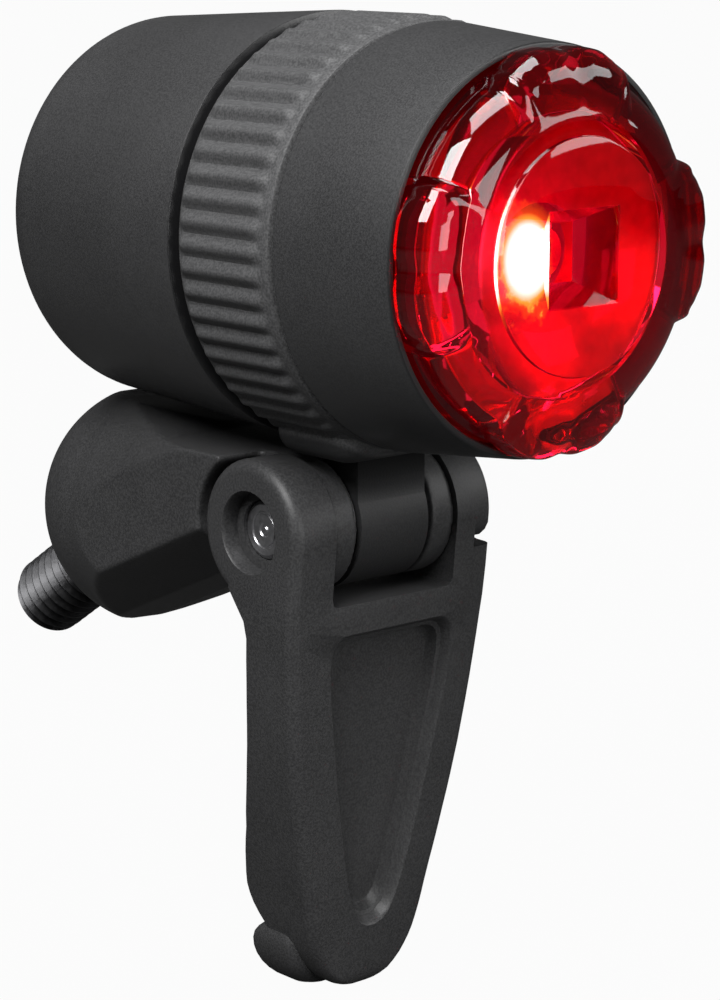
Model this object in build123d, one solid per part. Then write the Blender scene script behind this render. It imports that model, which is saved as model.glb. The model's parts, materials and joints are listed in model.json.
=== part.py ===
from build123d import *
import math
import os

os.makedirs("parts", exist_ok=True)

# Driving sizes, in millimetres.
# The lens looks along -Y, the barrel lies along Y and the hinge pin lies along X.
barrel_radius = 14.0
barrel_clearance = 5.6
ring_length = 9.0
ring_forward = 8.2
rear_shell_length = 20.4
rear_taper = 0.6
rear_rounding_length = 3.4
rear_rounding_height = 3.1
front_shell_length = 10.0
cap_groove = 0.6
head_groove = 0.15
front_taper = 0.9
rim_width = 0.7
rim_bevel = 0.35
shell_end_wall = 1.6
ring_wall = 1.7
tube_wall = 1.9
thread_length = 7.0
cap_step = 0.8
running_gap = 0.05
side_gap = 0.1
overrun = 1.0

# Lens, gasket and the seat that holds them in the front shell.
seat_depth = 2.8
seat_wall = 1.2
seat_width = 1.4
gasket_thickness = 0.6
gasket_width = 1.2
lens_reach = 3.5
lens_fit = 0.1
lens_shoulder_inset = 0.6
lens_rounding = 4.2
lens_wall = 1.5
lens_boss_width = 1.1
lens_boss_depth = 4.2
lens_flange_width = 1.7
block_height = 3.15
block_width = 9.2
block_reach = 2.5
block_bevel = 0.9
block_count = 4
pyramid_side = 6.0
pyramid_floor_side = 3.9
pyramid_depth = 2.9

# Light source and its boards.
board_thickness = 1.0
board_edge = 0.4
board_gap = 1.6
board_pin_radius = 0.4
board_pin_spread = 6.5
led_side = 3.6
led_height = 0.8
led_dome_radius = 1.3
reflector_depth = 1.9
reflector_wall = 0.8
reflector_throat = 3.0
chip_width = 5.0
chip_height = 1.0
coil_radius = 2.0
coil_height = 1.3

# Battery and contacts.
sleeve_wall = 2.4
contact_room = 3.65
battery_button_radius = 2.8
battery_button_height = 0.6
sleeve_fit = 0.15
sleeve_short = 4.0
front_contact_radius = 2.2
front_contact_height = 1.2
rear_contact_inset = 1.3
rear_contact_thickness = 0.4
leaf_width = 3.2
leaf_span = 10.0
leaf_flat = 2.4
leaf_thickness = 0.3
seal_width = 0.8
seal_depth = 0.6

# Ring ribs, foot and stem.
rib_count = 58
rib_radius = 0.52
rib_height = 0.35
rib_fade = 0.5
rib_front_margin = 1.1
rib_rear_margin = 0.4
foot_half_width = 7.0
foot_inset = 0.6
foot_depth = 0.45
stem_forward = 3.4

# Hinge.
pin_radius = 2.0
pin_fit = 0.05
pin_recess = 1.6
access_radius = 2.6
knuckle_radius = 4.6
knuckle_half_width = 3.0
washer_thickness = 0.3
washer_radius = 4.1
fork_ear_width = 2.0
fork_ear_radius = 4.6
ear_radius = 4.9
ear_width = 3.7
ear_gap = 0.3

# Arm, its round nose and the stud.
arm_top = 4.8
nose_radius = 8.7
nose_back = 20.2
nose_drop = 2.4
nose_corner_radius = 9.0
keel_droop = 23.9
keel_depth = 7.4
keel_half_width = 5.0
keel_rise = 0.35
facet_rise = 3.0
arm_corner_radius = 13.0
barrel_room = 0.7
stud_radius = 3.0
stud_root_radius = 2.5
stud_droop = 32.6
stud_reach = 11.2
stud_grip = 9.0
stud_chamfer = 0.7
insert_radius = 4.0
insert_rim = 0.6

# Lever.
lever_length = 34.0
window_floor = 5.0
pocket_depth = 1.6
pocket_corner = 2.0
notch_height = 0.7
notch_drop = 1.9
notch_depth = 1.7

# Outlines of the lever as shares of its ear radius (Y) and its length (Z).
lever_side_share = (
    (-1.0, 0.0), (-0.32, -0.96), (-0.24, -0.982), (0.2, -0.988), (0.6, -1.0), (0.9, -0.975),
    (1.0, -0.93), (1.0, -0.885), (0.77, -0.845), (0.96, -0.785), (0.92, -0.735), (0.68, -0.618),
    (0.35, -0.441), (0.16, -0.265), (0.12, -0.205), (0.34, -0.183), (0.7, -0.159), (0.45, -0.143), (0.0, 0.0),
)
# Half widths of the lever, as shares of its full half width, at shares of its length.
lever_width_share = (
    (1.0, 0.2), (1.0, -0.06), (0.925, -0.309), (0.837, -0.494), (0.734, -0.635), (0.647, -0.738),
    (0.576, -0.818), (0.52, -0.875),
)
pocket_share = ((0.57, -0.213), (0.31, -0.85))

# Radii of the barrel, worked out from its outside inwards.
barrel_rise = barrel_radius + barrel_clearance
rear_shell_end_radius = barrel_radius - rear_taper
rim_radius = barrel_radius - front_taper
mouth_radius = rim_radius - rim_width
seat_bore_radius = mouth_radius - seat_width
lens_shoulder_radius = mouth_radius - lens_shoulder_inset
lens_face_radius = lens_shoulder_radius - lens_rounding
lens_boss_radius = lens_face_radius + lens_boss_width
lens_cavity_radius = mouth_radius - lens_flange_width
block_radius = rim_radius - rim_bevel
block_inner_radius = block_radius - block_height
led_board_radius = seat_bore_radius - board_edge
reflector_radius = led_board_radius - board_edge
tube_radius = barrel_radius - ring_wall
tube_bore = tube_radius - tube_wall
cavity_radius = tube_radius - cap_step
driver_board_radius = tube_bore - running_gap
battery_radius = driver_board_radius - sleeve_wall - sleeve_fit
rear_contact_radius = battery_radius - rear_contact_inset

# Places along the barrel, worked out from the sizes above.
ring_front = -ring_forward
ring_rear = ring_front + ring_length
cap_front = ring_rear + cap_groove
cap_rear = cap_front + rear_shell_length
cap_wall_front = cap_rear - shell_end_wall
head_rear = ring_front - head_groove
rim_front = head_rear - front_shell_length
seat_front = rim_front + seat_depth
seat_rear = seat_front + seat_wall
tube_front = seat_rear + side_gap
tube_rear = cap_front + thread_length
lens_back = seat_front - gasket_thickness
lens_front = rim_front - lens_reach
led_board_front = tube_front - board_thickness
driver_board_front = tube_front + board_gap
driver_board_rear = driver_board_front + board_thickness
button_front = driver_board_rear + front_contact_height
battery_front = button_front + battery_button_height
battery_rear = cap_wall_front - contact_room
shell_bore_radius = tube_radius + running_gap
full_rib_radius = barrel_radius + rib_height
foot_bottom = barrel_rise - barrel_radius - foot_depth

# Places across the hinge, from the middle plane outwards.
washer_inner = knuckle_half_width + running_gap
fork_inner = washer_inner + washer_thickness + running_gap
fork_outer = fork_inner + fork_ear_width
ear_inner = fork_outer + side_gap
ear_outer = ear_inner + ear_width
pin_end = ear_outer - pin_recess


def turned(*points):
    """A solid turned about the barrel axis from (place along Y, radius) corners."""
    face = make_face(Polyline(*points, close=True))
    return Pos(0, 0, barrel_rise) * revolve(Plane.YZ * face, Axis.Y)


def ring_of(start, end, inner, outer):
    """A plain ring on the barrel axis."""
    return turned((start, inner), (end, inner), (end, outer), (start, outer))


def disc(start, end, radius):
    """A plain disc on the barrel axis."""
    return turned((start, 0), (end, 0), (end, radius), (start, radius))


def block(x_range, y_range, z_range):
    """A box between two places along each axis."""
    sizes = [end - start for start, end in (x_range, y_range, z_range)]
    middles = [(start + end) / 2 for start, end in (x_range, y_range, z_range)]
    return Pos(*middles) * Box(*sizes)


def cross_disc(radius, start, end):
    """A cylinder on the hinge axis, from one X to another."""
    return Pos((start + end) / 2, 0, 0) * Rot(0, 90, 0) * Cylinder(radius, end - start)


def slab(half_width, points):
    """An outline of (Y, Z) corners drawn out to both sides of the middle plane."""
    face = make_face(Polyline(*points, close=True))
    return extrude(Plane.YZ * face, half_width, both=True)


def both_sides(shape):
    """A piece and its mirror image across the middle plane."""
    return shape + mirror(shape, Plane.YZ)


def rear_shell():
    """Turned aluminium battery cap with a large rounding at its closed end."""
    cone_end = cap_rear - rear_rounding_length
    end_radius = rear_shell_end_radius - rear_rounding_height
    outline = Line((cap_front, full_rib_radius), (cone_end, rear_shell_end_radius))
    outline += EllipticalCenterArc(
        (cone_end, end_radius), rear_rounding_length, rear_rounding_height, start_angle=0, arc_size=90
    )
    outline += Polyline((cap_rear, end_radius), (cap_rear, 0), (cap_front, 0), (cap_front, full_rib_radius))
    body = Pos(0, 0, barrel_rise) * revolve(Plane.YZ * make_face(outline), Axis.Y)
    body -= disc(cap_front - overrun, tube_rear + side_gap, shell_bore_radius)
    return body - disc(cap_front, cap_wall_front, cavity_radius)


def front_shell():
    """Turned aluminium head that turns on the inner tube and carries the lens."""
    body = turned(
        (head_rear, 0),
        (head_rear, barrel_radius),
        (rim_front + rim_bevel, rim_radius),
        (rim_front, rim_radius - rim_bevel),
        (rim_front, 0),
    )
    body -= disc(rim_front - overrun, seat_front, mouth_radius)
    body -= disc(rim_front, head_rear, seat_bore_radius)
    return body - disc(seat_rear, head_rear + overrun, shell_bore_radius)


def ring_ribs():
    """Rounded grip ribs round the ring, fading out at both ends."""
    start = ring_front + rib_front_margin
    end = ring_rear - rib_rear_margin
    section = Sketch() + PolarLocations(full_rib_radius - rib_radius, rib_count) * Circle(rib_radius)
    bars = extrude(Pos(0, end, barrel_rise) * Rot(90, 0, 0) * section, end - start)
    envelope = turned(
        (start, tube_radius),
        (start, barrel_radius),
        (start + rib_fade, full_rib_radius),
        (end - rib_fade, full_rib_radius),
        (end, barrel_radius),
        (end, tube_radius),
    )
    return bars & envelope


def bracket_ring():
    """Ribbed plastic ring that grips the tube, with its foot, stem and hinge knuckle."""
    body = disc(ring_front, ring_rear, barrel_radius) + ring_ribs()
    foot_range = (ring_front + foot_inset, ring_rear - foot_inset)
    body += block((-foot_half_width, foot_half_width), foot_range, (foot_bottom, barrel_rise))
    body -= disc(ring_front - overrun, ring_rear + overrun, tube_radius)
    stem_range = (-stem_forward, ring_rear - foot_inset)
    stem = block((-knuckle_half_width, knuckle_half_width), stem_range, (0, foot_bottom + foot_depth / 2))
    body += stem + cross_disc(knuckle_radius, -knuckle_half_width, knuckle_half_width)
    return body - cross_disc(pin_radius + pin_fit, -ear_outer, ear_outer)


def inner_tube():
    """Aluminium tube that joins both shells to the ring, with the front seal's groove."""
    body = ring_of(tube_front, tube_rear, tube_bore, tube_radius)
    return body - ring_of(*head_seal_range(), tube_radius - seal_depth, tube_radius + overrun)


def head_seal_range():
    """Where the front seal lies, halfway along the front shell's bore."""
    middle = (seat_rear + head_rear) / 2
    return middle - seal_width / 2, middle + seal_width / 2


def head_seal():
    """Rubber seal in the tube's groove, under the turning front shell."""
    return ring_of(*head_seal_range(), tube_radius - seal_depth, tube_radius)


def cap_seal():
    """Rubber seal in the dark groove between the ring and the battery cap."""
    return ring_of(ring_rear, cap_front - side_gap, tube_radius, tube_radius + 2 * seal_depth)


def lens_gasket():
    """Flat rubber gasket between the lens flange and the shell's seat."""
    return ring_of(lens_back, seat_front, mouth_radius - gasket_width, mouth_radius - lens_fit)


def lens():
    """Clear red moulded lens with a rounded shoulder, four raised blocks and a pyramid pocket."""
    flange_radius = mouth_radius - lens_fit
    shoulder = rim_front - rim_bevel
    outline = Polyline(
        (lens_front, 0), (lens_back, 0), (lens_back, flange_radius), (shoulder, flange_radius),
        (shoulder, lens_shoulder_radius),
    )
    outline += EllipticalCenterArc(
        (shoulder, lens_face_radius), shoulder - lens_front, lens_shoulder_radius - lens_face_radius,
        start_angle=90, arc_size=90,
    )
    outline += Line((lens_front, lens_face_radius), (lens_front, 0))
    body = Pos(0, 0, barrel_rise) * revolve(Plane.YZ * make_face(outline), Axis.Y)
    block_front = rim_front - block_reach
    raised = turned(
        (shoulder, block_inner_radius),
        (shoulder, block_radius),
        (block_front + block_bevel, block_radius),
        (block_front, block_radius - block_bevel),
        (block_front, block_inner_radius),
    )
    for number in range(block_count):
        turn = Pos(0, 0, barrel_rise) * Rot(0, number * 360 / block_count, 0)
        keep = block((0, block_radius), (block_front, shoulder), (-block_width / 2, block_width / 2))
        body += raised & (turn * keep)
    boss_back = lens_front + lens_boss_depth
    cavity_front = block_front + lens_wall
    body -= disc(boss_back, lens_back + overrun, lens_cavity_radius)
    body -= ring_of(cavity_front, lens_back + overrun, lens_boss_radius, lens_cavity_radius)
    mouth = Plane(origin=(0, lens_front, barrel_rise), x_dir=(1, 0, 0), z_dir=(0, 1, 0))
    floor = mouth.offset(pyramid_depth)
    opening = mouth * Rectangle(pyramid_side, pyramid_side)
    bottom = floor * Rectangle(pyramid_floor_side, pyramid_floor_side)
    return body - loft([opening, bottom])


def reflector():
    """Bright bowl round the light source, standing on its board."""
    front = led_board_front - reflector_depth
    return turned(
        (led_board_front, reflector_throat),
        (led_board_front, reflector_radius),
        (front, reflector_radius),
        (front, reflector_radius - reflector_wall),
        (led_board_front - reflector_wall, reflector_throat),
    )


def led_board():
    """Light source board on the tube's front end."""
    return disc(led_board_front, tube_front, led_board_radius)


def led_package():
    """Square ceramic light source."""
    half = led_side / 2
    return block(
        (-half, half), (led_board_front - led_height, led_board_front), (barrel_rise - half, barrel_rise + half)
    )


def led_dome():
    """Clear dome moulded on the light source."""
    face = led_board_front - led_height
    ball = Pos(0, face, barrel_rise) * Sphere(led_dome_radius)
    return ball & disc(face - led_dome_radius, face, led_dome_radius)


def board_pins():
    """Two brass pins that carry current between the boards."""
    pin = Pos(board_pin_spread, (tube_front + driver_board_front) / 2, barrel_rise)
    return both_sides(pin * Rot(90, 0, 0) * Cylinder(board_pin_radius, board_gap))


def driver_board():
    """Current driver board against the battery sleeve."""
    return disc(driver_board_front, driver_board_rear, driver_board_radius)


def driver_chip():
    """Driver chip on the board."""
    half = chip_width / 2
    centre = barrel_rise + chip_width
    return block((-half, half), (driver_board_front - chip_height, driver_board_front), (centre - half, centre + half))


def driver_coil():
    """Round choke on the board."""
    place = Pos(0, driver_board_front - coil_height / 2, barrel_rise - chip_width)
    return place * Rot(90, 0, 0) * Cylinder(coil_radius, coil_height)


def front_contact():
    """Brass button that meets the battery's positive end."""
    return disc(driver_board_rear, button_front, front_contact_radius)


def battery():
    """Round cell with its positive button towards the lens."""
    cell = disc(battery_front, battery_rear, battery_radius)
    return cell + disc(button_front, battery_front, battery_button_radius)


def battery_sleeve():
    """Plastic sleeve that centres the battery in the tube."""
    end = battery_rear - sleeve_short
    return ring_of(driver_board_rear, end, battery_radius + sleeve_fit, driver_board_radius)


def rear_contact():
    """Round spring steel plate on the cap's end wall."""
    return disc(cap_wall_front - rear_contact_thickness, cap_wall_front, rear_contact_radius)


def contact_leaf():
    """Bent leaf that presses on the battery's flat end."""
    back = cap_wall_front - rear_contact_thickness
    front = battery_rear + side_gap
    outer, flat = leaf_span / 2, leaf_flat / 2
    inner = outer - 2 * leaf_thickness
    bend = flat - leaf_thickness / 2
    corners = (
        (back, -outer), (front, -flat), (front, flat), (back, outer), (back, inner),
        (front + leaf_thickness, bend), (front + leaf_thickness, -bend), (back, -inner),
    )
    return Pos(0, 0, barrel_rise) * slab(leaf_width / 2, corners)


# The stud leaves the nose along this direction, from a small flat face.
stud_direction = (0, math.cos(math.radians(stud_droop)), -math.sin(math.radians(stud_droop)))
face_reach = math.sqrt(nose_radius**2 - (insert_radius + insert_rim) ** 2)
stud_seat = (0, nose_back + face_reach * stud_direction[1], face_reach * stud_direction[2] - nose_drop)
stud_plane = Plane(origin=stud_seat, x_dir=(1, 0, 0), z_dir=stud_direction)


def along_stud(start, end, radius):
    """A cylinder on the stud's axis, between two distances from the nose's face."""
    return stud_plane * Pos(0, 0, (start + end) / 2) * Cylinder(radius, end - start)


def arm_keel():
    """Prism that trims the arm below: a low keel between two leaning lower facets."""
    angle = math.radians(keel_droop)
    along = (0, math.cos(angle), -math.sin(angle))
    lowest = (0, nose_back - keel_depth * math.sin(angle), -nose_drop - keel_depth * math.cos(angle))
    tall = 4 * nose_radius
    right = [(keel_half_width, keel_rise), (ear_outer, facet_rise), (ear_outer, tall)]
    left = [(-x, rise) for x, rise in reversed(right)]
    section = make_face(Polyline((0, 0), *right, *left, close=True))
    across = Plane(origin=lowest, x_dir=(-1, 0, 0), z_dir=along)
    return extrude(across * section, tall, both=True)


def arm_envelope():
    """Outer form of the arm: flat sides that run into a round nose."""
    corners = (
        (0, arm_top), (nose_back / 2, arm_top), (nose_back, nose_radius - nose_drop),
        (nose_back, -nose_radius - nose_drop), (0, -nose_radius - nose_drop),
    )
    side = slab(ear_outer, corners)
    side += Pos(0, nose_back, -nose_drop) * Rot(0, 90, 0) * Cylinder(nose_radius, 2 * ear_outer)
    plan_depth = 4 * nose_radius
    plan = block((-ear_outer, ear_outer), (-ear_outer, nose_back), (-plan_depth, plan_depth))
    plan += Pos(0, nose_back, 0) * scale(Cylinder(ear_outer, 2 * plan_depth), (1, nose_radius / ear_outer, 1))
    soft = Pos(0, nose_back, -nose_drop) * Sphere(nose_corner_radius)
    cone = Plane(origin=(0, nose_back, -nose_drop), x_dir=(1, 0, 0), z_dir=(0, -1, 0))
    soft += cone * Pos(0, 0, nose_back / 2) * Cone(nose_corner_radius, arm_corner_radius, nose_back)
    return side & plan & soft & arm_keel()


def base_arm():
    """Plastic arm with the fork for the lamp's knuckle and a round nose for the stud."""
    body = arm_envelope()
    body += cross_disc(fork_ear_radius, -fork_outer, fork_outer)
    seat_radius = ear_radius + ear_gap
    seat_lip = seat_radius * math.sin(math.radians(stud_droop))
    seat = cross_disc(seat_radius, ear_inner - side_gap / 2, ear_outer + overrun)
    seat += block((ear_inner - side_gap / 2, ear_outer + overrun), (-seat_radius, seat_lip), (-nose_radius, nose_radius))
    body -= both_sides(seat)
    slot_radius = knuckle_radius + ear_gap
    body -= cross_disc(slot_radius, -fork_inner, fork_inner)
    slot_back = ring_rear - foot_inset + ear_gap
    body -= block((-fork_inner, fork_inner), (-slot_radius, slot_back), (0, 2 * slot_radius))
    room_front = ring_rear + cap_groove
    room_back = cap_rear + barrel_room
    body -= turned(
        (-slot_radius, 0), (room_back, 0), (room_back, rear_shell_end_radius + barrel_room),
        (room_front, full_rib_radius + barrel_room), (-slot_radius, full_rib_radius + barrel_room),
    )
    body -= cross_disc(pin_radius, -ear_outer, ear_outer)
    body -= along_stud(0, 2 * nose_radius, 2 * insert_radius)
    return body - along_stud(-stud_grip, overrun, insert_radius)


def stud_insert():
    """Brass sleeve moulded into the nose, round the stud's root."""
    return along_stud(-stud_grip, 0, insert_radius) - along_stud(-stud_grip, 0, stud_root_radius)


def mounting_stud():
    """Steel M6 stud, shown with its thread's outer radius."""
    shaft = along_stud(0, stud_reach, stud_radius)
    shaft = chamfer(shaft.edges().group_by(Axis(stud_seat, stud_direction))[-1], stud_chamfer)
    return shaft + along_stud(-stud_grip, 0, stud_root_radius)


def pivot_pin():
    """Steel hinge pin with its ends below the lever's faces."""
    return cross_disc(pin_radius, -pin_end, pin_end)


def pivot_washers():
    """Two thin friction washers beside the lamp's knuckle."""
    washer = cross_disc(washer_radius, washer_inner, washer_inner + washer_thickness)
    return both_sides(washer - cross_disc(pin_radius, 0, ear_outer))


def clamp_lever():
    """Plastic lever with two ears on the pin, a pocket in its face and a finger lip."""
    side = slab(ear_outer, [(y * ear_radius, z * lever_length) for y, z in lever_side_share])
    side += cross_disc(ear_radius, -ear_outer, ear_outer)
    right = [(share * ear_outer, place * lever_length) for share, place in lever_width_share]
    left = [(-x, z) for x, z in reversed(right)]
    front = Polyline(left[0], *left[1:], *right)
    front += ThreePointArc(right[-1], (0, -lever_length), left[0])
    body = side & extrude(Plane.XZ * make_face(front), lever_length, both=True)
    body -= block((-ear_inner, ear_inner), (-lever_length, lever_length), (-window_floor, lever_length))
    body -= cross_disc(pin_radius + pin_fit, -ear_outer, ear_outer)
    body -= both_sides(cross_disc(access_radius, pin_end, ear_outer + overrun))
    body -= block(
        (ear_outer - notch_depth, ear_outer + overrun),
        (-ear_radius - overrun, -ear_radius / 2),
        (-notch_drop - notch_height, -notch_drop),
    )
    return body - lever_pocket()


def lever_pocket():
    """The shallow pocket in the lever's leaning front face."""
    top, bottom = lever_side_share[0], lever_side_share[1]
    run = (bottom[0] - top[0]) * ear_radius
    drop = (bottom[1] - top[1]) * lever_length
    face = Plane(origin=(0, -ear_radius, 0), x_dir=(1, 0, 0), z_dir=(0, drop, -run))
    corners = [(share * ear_outer, place * lever_length) for share, place in pocket_share]
    corners += [(-x, z) for x, z in reversed(corners)]
    outline = make_face(Polyline(*corners, close=True))
    outline = fillet(outline.vertices(), pocket_corner)
    return extrude(face * outline, -pocket_depth) + extrude(face * outline, overrun)


pieces = {
    "rear_shell": rear_shell(),
    "front_shell": front_shell(),
    "bracket_ring": bracket_ring(),
    "inner_tube": inner_tube(),
    "head_seal": head_seal(),
    "cap_seal": cap_seal(),
    "lens_gasket": lens_gasket(),
    "lens": lens(),
    "reflector": reflector(),
    "led_board": led_board(),
    "led_package": led_package(),
    "led_dome": led_dome(),
    "board_pins": board_pins(),
    "driver_board": driver_board(),
    "driver_chip": driver_chip(),
    "driver_coil": driver_coil(),
    "front_contact": front_contact(),
    "battery": battery(),
    "battery_sleeve": battery_sleeve(),
    "rear_contact": rear_contact(),
    "contact_leaf": contact_leaf(),
    "base_arm": base_arm(),
    "stud_insert": stud_insert(),
    "mounting_stud": mounting_stud(),
    "pivot_pin": pivot_pin(),
    "pivot_washers": pivot_washers(),
    "clamp_lever": clamp_lever(),
}

# The part's origin is on the stud's axis, where the stud leaves the arm's nose.
to_origin = Pos(0, -stud_seat[1], -stud_seat[2])
for node, piece in pieces.items():
    export_step(to_origin * piece, f"parts/{node}.step")
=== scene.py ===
import bpy
import json
import math
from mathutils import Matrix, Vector

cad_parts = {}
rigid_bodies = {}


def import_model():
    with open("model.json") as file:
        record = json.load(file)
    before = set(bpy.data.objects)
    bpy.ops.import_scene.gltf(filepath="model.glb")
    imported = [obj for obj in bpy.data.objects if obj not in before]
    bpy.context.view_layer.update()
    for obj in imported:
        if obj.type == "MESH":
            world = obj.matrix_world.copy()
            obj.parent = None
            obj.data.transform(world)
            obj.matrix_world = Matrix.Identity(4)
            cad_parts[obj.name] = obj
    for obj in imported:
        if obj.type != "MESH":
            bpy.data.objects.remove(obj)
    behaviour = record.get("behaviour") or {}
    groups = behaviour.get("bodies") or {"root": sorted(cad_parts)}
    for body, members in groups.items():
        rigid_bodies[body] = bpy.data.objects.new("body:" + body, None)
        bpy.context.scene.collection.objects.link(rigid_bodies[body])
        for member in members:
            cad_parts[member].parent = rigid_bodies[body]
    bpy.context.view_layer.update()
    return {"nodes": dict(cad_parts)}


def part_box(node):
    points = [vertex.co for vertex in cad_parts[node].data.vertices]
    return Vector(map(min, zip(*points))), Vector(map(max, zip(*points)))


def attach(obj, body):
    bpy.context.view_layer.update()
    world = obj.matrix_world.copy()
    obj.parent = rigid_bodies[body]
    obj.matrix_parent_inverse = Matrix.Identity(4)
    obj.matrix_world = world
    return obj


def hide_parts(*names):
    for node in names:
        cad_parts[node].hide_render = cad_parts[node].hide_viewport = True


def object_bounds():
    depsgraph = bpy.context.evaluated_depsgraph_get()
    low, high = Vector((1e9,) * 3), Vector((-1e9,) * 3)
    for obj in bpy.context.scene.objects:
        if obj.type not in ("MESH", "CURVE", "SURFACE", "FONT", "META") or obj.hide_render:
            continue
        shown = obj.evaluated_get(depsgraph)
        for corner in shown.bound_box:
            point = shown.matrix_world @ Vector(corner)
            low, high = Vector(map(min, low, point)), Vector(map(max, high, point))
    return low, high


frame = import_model()

# Camera.
# It stands to the front and left of the lens, a little above the barrel, and looks level with the hinge.
mm = 0.001
pin_low, pin_high = (Vector(corner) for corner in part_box("pivot_pin"))
hinge = (pin_low + pin_high) / 2
camera_azimuth = math.radians(-41.46)
camera_elevation = math.radians(11.71)
camera_offset = Vector((-131.92, -150.33, 42.46)) * mm
bpy.ops.object.camera_add(
    location=hinge + camera_offset, rotation=(math.pi / 2 - camera_elevation, 0, camera_azimuth)
)
camera = bpy.context.object
camera.name = "studio_camera"
camera.data.sensor_width = 36
camera.data.lens = 108
camera.data.clip_start = 0.01
bpy.context.scene.camera = camera
bpy.context.scene.view_settings.view_transform = "Standard"


# Studio.
# A pale floor just under the lever's tip, a white surround and four soft lamps. Floor and surround are
# white where they are seen, and dark where they would light the black pieces.


class Reading:
    """A socket whose number is worked out with ordinary operators."""

    def __init__(self, tree, socket):
        self.tree = tree
        self.socket = socket

    def maths(self, operation, *others):
        node = self.tree.nodes.new("ShaderNodeMath")
        node.operation = operation
        for place, value in enumerate((self, *others)):
            if isinstance(value, Reading):
                self.tree.links.new(value.socket, node.inputs[place])
            else:
                node.inputs[place].default_value = value
        return Reading(self.tree, node.outputs[0])

    def __add__(self, other):
        return self.maths("ADD", other)

    def __sub__(self, other):
        return self.maths("SUBTRACT", other)

    def __rsub__(self, other):
        return self.maths("MULTIPLY", -1).maths("ADD", other)

    def __mul__(self, other):
        return self.maths("MULTIPLY", other)

    def __pow__(self, other):
        return self.maths("POWER", other)

    def step(self, low, high):
        """0 below low and 1 above high, smooth between."""
        return self.make("ShaderNodeMapRange", {"interpolation_type": "SMOOTHSTEP"}, {
            "Value": self, "From Min": low, "From Max": high})

    def make(self, kind, settings=None, values=None, output=0):
        """Any other node: its type, its settings, and the values or links of its sockets."""
        node = self.tree.nodes.new(kind)
        for key, value in (settings or {}).items():
            if key == "stops":
                ends = node.color_ramp.elements
                ends[0].color, ends[1].color = (*value[0][1], 1), (*value[-1][1], 1)
                for place, color in value[1:-1]:
                    ends.new(place).color = (*color, 1)
            else:
                setattr(node, key, value)
        for key, value in (values or {}).items():
            if isinstance(value, Reading):
                self.tree.links.new(value.socket, node.inputs[key])
            else:
                node.inputs[key].default_value = value
        return Reading(self.tree, node.outputs[output])


def seen_directly(tree):
    """1 for rays from the camera, also through the lens, and 0 for the light that a surface gathers."""
    rays = tree.nodes.new("ShaderNodeLightPath")
    through = Reading(tree, rays.outputs["Is Transmission Ray"])
    return Reading(tree, rays.outputs["Is Camera Ray"]).maths("MAXIMUM", through)


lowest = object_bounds()[0][2]
bpy.ops.object.select_all(action="DESELECT")
bpy.ops.mesh.primitive_plane_add(size=6, location=(0, 0, lowest - 0.2 * mm))
floor = bpy.context.object
floor.name = "studio_floor"
floor_material = bpy.data.materials.new("pale_floor")
floor_material.use_nodes = True
tree = floor_material.node_tree
paper = tree.nodes["Principled BSDF"]
paper.inputs["Base Color"].default_value = (0.05, 0.05, 0.05, 1)
paper.inputs["Specular IOR Level"].default_value = 0
paper.inputs["Roughness"].default_value = 0.9
glow = tree.nodes.new("ShaderNodeEmission")
glow.inputs["Color"].default_value = (1, 1, 1, 1)
blend = tree.nodes.new("ShaderNodeMixShader")
paleness = 0.965
tree.links.new((seen_directly(tree) * paleness).socket, blend.inputs[0])
tree.links.new(paper.outputs[0], blend.inputs[1])
tree.links.new(glow.outputs[0], blend.inputs[2])
tree.links.new(blend.outputs[0], tree.nodes["Material Output"].inputs["Surface"])
floor.data.materials.append(floor_material)

world = bpy.data.worlds.new("studio_surround")
bpy.context.scene.world = world
world.use_nodes = True
tree = world.node_tree
surround = tree.nodes["Background"]
surround.inputs["Color"].default_value = (0.05, 0.05, 0.05, 1)
white = tree.nodes.new("ShaderNodeBackground")
white.inputs["Color"].default_value = (1, 1, 1, 1)
blend = tree.nodes.new("ShaderNodeMixShader")
tree.links.new(seen_directly(tree).socket, blend.inputs[0])
tree.links.new(surround.outputs[0], blend.inputs[1])
tree.links.new(white.outputs[0], blend.inputs[2])
tree.links.new(blend.outputs[0], tree.nodes["World Output"].inputs["Surface"])


def soft_lamp(name, azimuth, elevation, distance, size, power):
    """A square soft lamp that shines on the barrel, its place given in degrees and metres."""
    a, e = math.radians(azimuth), math.radians(elevation)
    away = Vector((math.sin(a) * math.cos(e), -math.cos(a) * math.cos(e), math.sin(e)))
    aim = hinge + Vector((0, 0, 0.01))
    bpy.ops.object.light_add(type="AREA", location=aim + away * distance)
    lamp = bpy.context.object
    lamp.name = name
    lamp.data.size = size
    lamp.data.energy = power
    lamp.rotation_euler = (-away).to_track_quat("-Z", "Y").to_euler()


soft_lamp("key_lamp", -66, 46, 0.50, 0.28, 5.0)
soft_lamp("top_lamp", -10, 80, 0.45, 0.24, 2.0)
soft_lamp("side_lamp", 48, 24, 0.55, 0.26, 1.1)
soft_lamp("front_lamp", 6, 2, 0.60, 0.34, 2.0)


# Rear shell.
# The battery cap is turned from aluminium, bead-blasted and anodised black, with fine turning
# marks left round its closed end. It screws on the inner tube behind the ring.
barrel_rise = 19.6 * mm
barrel_z = hinge.z + barrel_rise


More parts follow.
